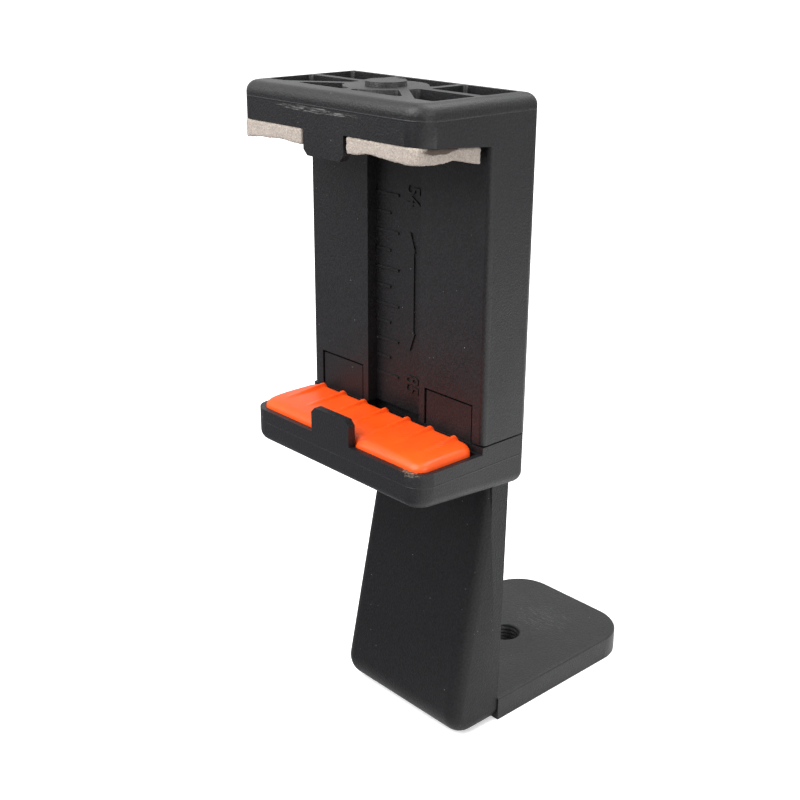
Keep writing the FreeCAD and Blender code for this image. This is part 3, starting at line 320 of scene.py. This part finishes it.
BODY_BLACK = (0.0045, 0.0045, 0.0052)
RUBBED_GREY = (0.16, 0.155, 0.15)
DUST_GREY = (0.17, 0.17, 0.165)
CLOUD_SPAN = (0.3, 0.7)
GLOSSIER = 0.05
DULLER = 0.06
GRAIN_SPAN = (0.35, 0.65)
DARK_GRAIN = 0.5
PALE_GRAIN = 2.2
LINE_HEIGHT = 0.5


def moulded_black(name, colour, roughness, ior=1.42, grain_size=0.40, relief=0.10,
                  level=None, scuffs=()):
    """Black moulded plastic with grain, clouds of gloss, a little dust and its own scuffs."""
    material = bpy.data.materials.new(name)
    material.use_nodes = True
    tree = material.node_tree
    shader = tree.nodes["Principled BSDF"]
    shader.inputs["IOR"].default_value = ior
    texture = place_group(tree, grain, Grain_Size=grain_size)
    gloss = spread(tree, (texture, "Clouds"), *CLOUD_SPAN,
                   to=(roughness - GLOSSIER, roughness + DULLER))
    wire(tree, *gloss, shader, "Roughness")
    height = (texture, "Height")
    if level is not None:
        line = place_group(tree, parting, Level=level)
        height = calculate(tree, "MULTIPLY_ADD", (line, "Height"), LINE_HEIGHT)
        wire(tree, texture, "Height", height[0], 2)
    bump = node(tree, "Bump", Strength=1.0, Distance=relief * MM)
    wire(tree, *height, bump, "Height")
    wire(tree, bump, "Normal", shader, "Normal")
    surface = mix(tree, spread(tree, (texture, "Height"), *GRAIN_SPAN),
                  [DARK_GRAIN * part for part in colour], [PALE_GRAIN * part for part in colour])
    speck = place_group(tree, dust)
    surface = mix(tree, (speck, "Mask"), surface, DUST_GREY)
    for tint, values in scuffs:
        patch = place_group(tree, scuff, **values)
        surface = mix(tree, (patch, "Mask"), surface, tint)
    wire(tree, *surface, shader, "Base Color")
    return material


def dress(node_name, material, edge):
    """Give a CAD node its finish, and soften its sharp edges by so many millimetres."""
    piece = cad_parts[node_name]
    piece.data.materials.clear()
    piece.data.materials.append(material)
    weld = piece.modifiers.new("weld", "WELD")
    weld.merge_threshold = 0.002 * MM
    soft = piece.modifiers.new("soft_edges", "BEVEL")
    soft.width = edge * MM
    soft.segments = 2
    soft.limit_method = "ANGLE"
    soft.angle_limit = math.radians(40)
    soft.harden_normals = True


HEAD_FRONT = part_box("clamp_body")[0][1]
HEAD_PARTING = 136.9 * MM
head_streaks = dict(Centre=(-0.002, HEAD_FRONT, 0.1362), Reach=(0.026, 0.003, 0.0013),
                    Streak=(0.0022, 0.0010, 0.00016), Cover=0.53)
body_black = moulded_black("body_black", BODY_BLACK, roughness=0.44, level=HEAD_PARTING,
                           scuffs=[(RUBBED_GREY, head_streaks)])
dress("clamp_body", body_black, edge=0.22)

# Scale numbers: plain figures raised with the body's moulding, in the groove between the rails.
# They give the smallest and the largest phone width, and read from the left.
NUMBER_SIZE = 5.4 * MM
NUMBER_RISE = 0.22 * MM
NUMBER_WEIGHT = 0.05 * MM
NUMBER_WIDTH = 0.78
NUMBER_COLUMN = 3.0 * MM
GROOVE_FACE = -20.5 * MM
NUMBER_SEAT = 0.05 * MM
numbers_turn = (Matrix.Rotation(math.radians(90), 4, "X")
                @ Matrix.Rotation(math.radians(-90), 4, "Z")
                @ Matrix.Diagonal((NUMBER_WIDTH, 1.0, 1.0, 1.0)))
for text, height in (("54", 118.6 * MM), ("85", 79.5 * MM)):
    curve = bpy.data.curves.new("scale_" + text, "FONT")
    curve.body = text
    curve.size = NUMBER_SIZE
    curve.extrude = NUMBER_RISE
    curve.offset = NUMBER_WEIGHT
    curve.align_x = "CENTER"
    curve.align_y = "CENTER"
    lettering = bpy.data.objects.new("scale_" + text, curve)
    bpy.context.scene.collection.objects.link(lettering)
    seat = Vector((NUMBER_COLUMN, GROOVE_FACE - NUMBER_SEAT, height))
    lettering.matrix_world = Matrix.Translation(seat) @ numbers_turn
    bpy.context.view_layer.update()
    depsgraph = bpy.context.evaluated_depsgraph_get()
    raised_mesh = bpy.data.meshes.new_from_object(lettering.evaluated_get(depsgraph))
    raised = bpy.data.objects.new("scale_number_" + text, raised_mesh)
    raised.matrix_world = lettering.matrix_world
    bpy.data.objects.remove(lettering)
    bpy.context.scene.collection.objects.link(raised)
    raised_mesh.materials.clear()
    raised_mesh.materials.append(body_black)
    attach(raised, "stand")

# Back cover: a flat plate of the same black plastic, a little duller.
# It is let into the back of the clamp body and held by four screws.
cover_black = moulded_black("cover_black", BODY_BLACK, roughness=0.48)
dress("back_cover", cover_black, edge=0.15)

# Screws, nut and spring pins: plain zinc-plated steel.
# They are bought parts, so they have a finer grain than the mouldings and soft gloss clouds.
STEEL_DARK = (0.46, 0.46, 0.47)
STEEL_PALE = (0.62, 0.62, 0.61)
STEEL_GLOSS = (0.22, 0.42)
steel = bpy.data.materials.new("plated_steel")
steel.use_nodes = True
tree = steel.node_tree
shader = tree.nodes["Principled BSDF"]
shader.inputs["Metallic"].default_value = 1.0
texture = place_group(tree, grain, Grain_Size=0.12, Cloud_Size=3.0)
wire(tree, *mix(tree, (texture, "Clouds"), STEEL_DARK, STEEL_PALE), shader, "Base Color")
wire(tree, *spread(tree, (texture, "Clouds"), to=STEEL_GLOSS), shader, "Roughness")
bump = node(tree, "Bump", Strength=1.0, Distance=0.01 * MM)
wire(tree, texture, "Height", bump, "Height")
wire(tree, bump, "Normal", shader, "Normal")
for name in ("cover_screws", "clamp_screw", "clamp_nut",
             "upper_spring_pins", "lower_spring_pins", "foot_screws"):
    dress(name, steel, edge=0.08)


# Return springs: two coils of steel wire inside the body, which pull the lower jaw up.
# Each hangs on a pin of the body and holds a pin of the jaw's arm.
def copy_piece(node_name, name):
    """A free copy of a CAD node's mesh, in the frame of the whole holder."""
    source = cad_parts[node_name]
    mesh = source.data.copy()
    mesh.transform(source.matrix_world)
    mesh.materials.clear()
    piece = bpy.data.objects.new(name, mesh)
    bpy.context.scene.collection.objects.link(piece)
    return piece


for side in ("right", "left"):
    spring = copy_piece("return_spring_" + side, side + "_spring_wire")
    spring.data.materials.append(steel)
    low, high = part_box("return_spring_" + side)
    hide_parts("return_spring_" + side)
    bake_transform(spring)


# Felt strips: two pieces of pale pressed felt, cut by hand and glued under the upper jaw.
# Their lower edges wander, and the right one is soiled near its front corner.
def remesh(piece, voxel):
    """Rebuild a piece's mesh from even small faces, ready to be shaped."""
    step = piece.modifiers.new("even_faces", "REMESH")
    step.mode = "VOXEL"
    step.voxel_size = voxel
    bpy.context.view_layer.update()
    depsgraph = bpy.context.evaluated_depsgraph_get()
    even = bpy.data.meshes.new_from_object(piece.evaluated_get(depsgraph))
    piece.modifiers.clear()
    piece.data = even
    for face in even.polygons:
        face.use_smooth = True


def shape(piece, move):
    """Move every point of a piece by a function of its place and its normal."""
    mesh = piece.data
    places = [vertex.co.copy() for vertex in mesh.vertices]
    normals = [vertex.normal.copy() for vertex in mesh.vertices]
    for vertex, spot, normal in zip(mesh.vertices, places, normals):
        vertex.co = move(spot, normal)
    mesh.update()


FELT_DARK = (0.29, 0.245, 0.21)
FELT_PALE = (0.56, 0.49, 0.43)
FELT_SOIL = (0.10, 0.075, 0.06)
FIBRE_SIZE = 0.30 * MM
felt = bpy.data.materials.new("pale_felt")
felt.use_nodes = True
tree = felt.node_tree
shader = tree.nodes["Principled BSDF"]
shader.inputs["Roughness"].default_value = 0.95
shader.inputs["Sheen Weight"].default_value = 0.25
shader.inputs["Specular IOR Level"].default_value = 0.1
place = node(tree, "TexCoord")
fibres = node(tree, "TexNoise", Scale=1 / FIBRE_SIZE, Detail=5.0, Roughness=0.75)
wire(tree, place, "Object", fibres, "Vector")
mottle = node(tree, "ValToRGB")
dark_end, pale_end = mottle.color_ramp.elements
dark_end.position = 0.36
dark_end.color = (*FELT_DARK, 1)
pale_end.position = 0.66
pale_end.color = (*FELT_PALE, 1)
wire(tree, fibres, "Fac", mottle, "Fac")
low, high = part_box("felt_right")
soil = place_group(tree, scuff, Centre=(high[0], low[1] + 0.0055, high[2] - 0.0008),
                   Reach=(0.003, 0.0090, 0.0016), Streak=(0.0030, 0.0030, 0.0012), Cover=0.74)
wire(tree, *mix(tree, (soil, "Mask"), (mottle, "Color"), FELT_SOIL), shader, "Base Color")
bump = node(tree, "Bump", Strength=1.0, Distance=0.12 * MM)
wire(tree, fibres, "Fac", bump, "Height")
wire(tree, bump, "Normal", shader, "Normal")

FELT_VOXEL = 0.3 * MM
FELT_THICKNESS = 3.1 * MM
FELT_FUZZ = 0.10 * MM
HEAD_SLOPE = 1.4 / 17.5
WANDER = 0.22
WANDER_LENGTH = 3.0 * MM
TUFT_LENGTH = 0.5 * MM
FIBRE_LENGTH = 0.22 * MM
FIBRE_SHARE = 0.6
LEFT_SAG = 2.0
LEFT_SAG_FROM = 0.5


def wave(along, height, middle, reach):
    """A smooth hump of a given height round one place, which fades over a given reach."""
    return height * math.exp(-((along - middle) / reach) ** 2)


def felt_point(spot, normal, low, high, direction):
    """Lift and lower the strip's underside, and roughen the whole strip."""
    inner = low[0] if direction > 0 else high[0]
    across = (spot.x - inner) * direction / (high[0] - low[0])
    back = (spot.y - low[1]) / (high[1] - low[1])
    top = high[2] - HEAD_SLOPE * (spot.y - low[1])
    hang = min(max((top - spot.z) / FELT_THICKNESS, 0), 1)
    if direction > 0:
        lift = (wave(across, height=0.55, middle=0.38, reach=0.2)
                + wave(back, height=0.8, middle=0.62, reach=0.2) * across)
    else:
        lift = (wave(across, height=0.25, middle=0.45, reach=0.25)
                - LEFT_SAG * max(across - LEFT_SAG_FROM, 0) ** 2)
    wander = WANDER * noise.noise(spot / WANDER_LENGTH)
    spot = spot + Vector((0, 0, hang * (lift + wander) * MM))
    rough = noise.noise(spot / TUFT_LENGTH) + FIBRE_SHARE * noise.noise(spot / FIBRE_LENGTH)
    return spot + normal * rough * FELT_FUZZ


for side, direction in (("right", 1), ("left", -1)):
    strip = copy_piece("felt_" + side, side + "_felt_strip")
    remesh(strip, FELT_VOXEL)
    low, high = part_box("felt_" + side)
    shape(strip, lambda spot, normal: felt_point(spot, normal, low, high, direction))
    strip.data.materials.append(felt)
    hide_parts("felt_" + side)
    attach(strip, "stand")

# Lower jaw: one black moulding of tray, lip, tabs and the two arms that run in the body.
# It has the same finish as the body. The tray is worn brown at its front right corner, and
# lightly rubbed on its parting line and along its right edge.
JAW_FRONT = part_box("lower_jaw")[0][1]
JAW_PARTING = 69.0 * MM
WORN_BROWN = (0.20, 0.16, 0.12)
worn_corner = dict(Centre=(0.0225, JAW_FRONT + 0.0012, 0.0716), Reach=(0.0060, 0.003, 0.0018),
                   Streak=(0.0005, 0.0005, 0.00025), Cover=0.55)
worn_line = dict(Centre=(0.001, JAW_FRONT, JAW_PARTING), Reach=(0.007, 0.002, 0.0009),
                 Streak=(0.0012, 0.001, 0.0003), Cover=0.42)
worn_edge = dict(Centre=(0.025, JAW_FRONT + 0.004, 0.0665), Reach=(0.012, 0.012, 0.0030),
                 Streak=(0.0008, 0.0008, 0.0006), Cover=0.33)
jaw_black = moulded_black("jaw_black", BODY_BLACK, roughness=0.45, ior=1.40, level=JAW_PARTING,
                          scuffs=[(WORN_BROWN, worn_corner), (RUBBED_GREY, worn_line),
                                  (RUBBED_GREY, worn_edge)])
dress("lower_jaw", jaw_black, edge=0.25)

# Rubber pad: one orange moulding that lies in the tray, crowned and softly rounded.
# Seven thin ridges rise to sharp ends at its back. It is lower at its front and its ends,
# and scooped out behind the lip.
RUBBER_DEEP = (0.86, 0.066, 0.004)
RUBBER_LIGHT = (0.93, 0.102, 0.006)
RUBBER_GLOSS = (0.28, 0.46)
rubber = bpy.data.materials.new("orange_rubber")
rubber.use_nodes = True
tree = rubber.node_tree
shader = tree.nodes["Principled BSDF"]
shader.inputs["IOR"].default_value = 1.42
texture = place_group(tree, grain, Grain_Size=0.35, Cloud_Size=5.0)
wire(tree, *mix(tree, (texture, "Clouds"), RUBBER_DEEP, RUBBER_LIGHT), shader, "Base Color")
wire(tree, *spread(tree, (texture, "Clouds"), to=RUBBER_GLOSS), shader, "Roughness")
bump = node(tree, "Bump", Strength=1.0, Distance=0.015 * MM)
wire(tree, texture, "Height", bump, "Height")
wire(tree, bump, "Normal", shader, "Normal")

PAD_VOXEL = 0.25 * MM
FRONT_SHARE = 0.42
FRONT_DROP = 1.0 * MM
END_LENGTH = 5.0 * MM
END_DROP = 0.5 * MM
SCOOP_WIDTH = 6.0 * MM
SCOOP_PLACE = 2.2 * MM
SCOOP_DEPTH = 0.7 * MM
SIDE_BULGE = 0.06 * MM
grip = copy_piece("grip_pad", "rubber_grip")
remesh(grip, PAD_VOXEL)
pad_low, pad_high = (Vector(corner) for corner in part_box("grip_pad"))


def pad_point(spot, normal):
    """Crown the pad, lower its front edge and its ends, and scoop it behind the lip."""
    depth = pad_high.y - pad_low.y
    height = min(max((spot.z - pad_low.z) / (pad_high.z - pad_low.z), 0), 1)
    front = min(max(1 - (spot.y - pad_low.y) / (FRONT_SHARE * depth), 0), 1)
    end = min(max((abs(spot.x) - (pad_high.x - END_LENGTH)) / END_LENGTH, 0), 1)
    scoop = (wave(spot.x, height=SCOOP_DEPTH, middle=0, reach=SCOOP_WIDTH)
             * wave(spot.y - pad_low.y, height=1, middle=SCOOP_PLACE, reach=SCOOP_PLACE))
    drop = FRONT_DROP * front ** 2 + END_DROP * end ** 2 + scoop
    bulge = SIDE_BULGE * math.sin(math.pi * height)
    return spot - Vector((0, 0, drop * height ** 2)) + normal * bulge


shape(grip, pad_point)
smooth = grip.modifiers.new("soft_rubber", "SMOOTH")
smooth.factor = 0.5
smooth.iterations = 3
grip.data.materials.append(rubber)
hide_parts("grip_pad")
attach(grip, "jaw")

# Upright: the sloping post of the stand, one black moulding with a coarser grain.
# The clamp hangs on its top by one screw, and the foot plate is screwed to its heel.
# Its black is darker and mirrors less than the body's. This is painted shade, for the shade the
# upright stands in under the clamp.
SHADED_STAND_BLACK = (0.0032, 0.0032, 0.0038)
shaded_stand_black = moulded_black("shaded_stand_black", SHADED_STAND_BLACK, roughness=0.44, ior=1.30,
                            grain_size=0.45, relief=0.12)
dress("upright", shaded_stand_black, edge=0.3)

# Foot plate: a flat black moulding behind the upright, with a threaded hole.
# It is screwed to the upright's heel, and its top is covered with fine short scratches.
SCRATCH_GREY = (0.055, 0.055, 0.053)
foot_scratches = dict(Centre=(0.002, 0.026, 0.0056), Reach=(0.020, 0.018, 0.002),
                      Streak=(0.0016, 0.00028, 0.001), Cover=0.46)
foot_black = moulded_black("foot_black", BODY_BLACK, roughness=0.46, grain_size=0.45,
                           relief=0.12, scuffs=[(SCRATCH_GREY, foot_scratches)])
dress("foot_plate", foot_black, edge=0.2)

# Foot hole thread: fine ridges inside the bore of the foot plate, of the same plastic.
# They are moulded with the plate, and drawn as separate rings of three points in section.
HOLE_MIDDLE = 14.4 * MM
HOLE_RADIUS = 3.49 * MM
RIDGE_DEPTH = 0.34 * MM
RIDGE_PITCH = 0.95 * MM
RIDGE_HALF = 0.46 * RIDGE_PITCH
FIRST_RIDGE = 0.75 * RIDGE_PITCH
RIDGE_COUNT = 5
AROUND = 72
ridge_outline = ((HOLE_RADIUS, -RIDGE_HALF), (HOLE_RADIUS - RIDGE_DEPTH, 0),
                 (HOLE_RADIUS, RIDGE_HALF))
points = []
faces = []
for ridge in range(RIDGE_COUNT):
    first = len(points)
    for step in range(AROUND):
        angle = 2 * math.pi * step / AROUND
        for reach, rise in ridge_outline:
            points.append((reach * math.cos(angle), HOLE_MIDDLE + reach * math.sin(angle),
                           FIRST_RIDGE + ridge * RIDGE_PITCH + rise))
    for step in range(AROUND):
        here = first + 3 * step
        after = first + 3 * ((step + 1) % AROUND)
        for corner in range(3):
            above = (corner + 1) % 3
            faces.append((here + corner, here + above, after + above, after + corner))
thread_mesh = bpy.data.meshes.new("foot_hole_thread")
thread_mesh.from_pydata(points, [], faces)
thread_mesh.materials.append(foot_black)
thread = bpy.data.objects.new("foot_hole_thread", thread_mesh)
bpy.context.scene.collection.objects.link(thread)
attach(thread, "stand")
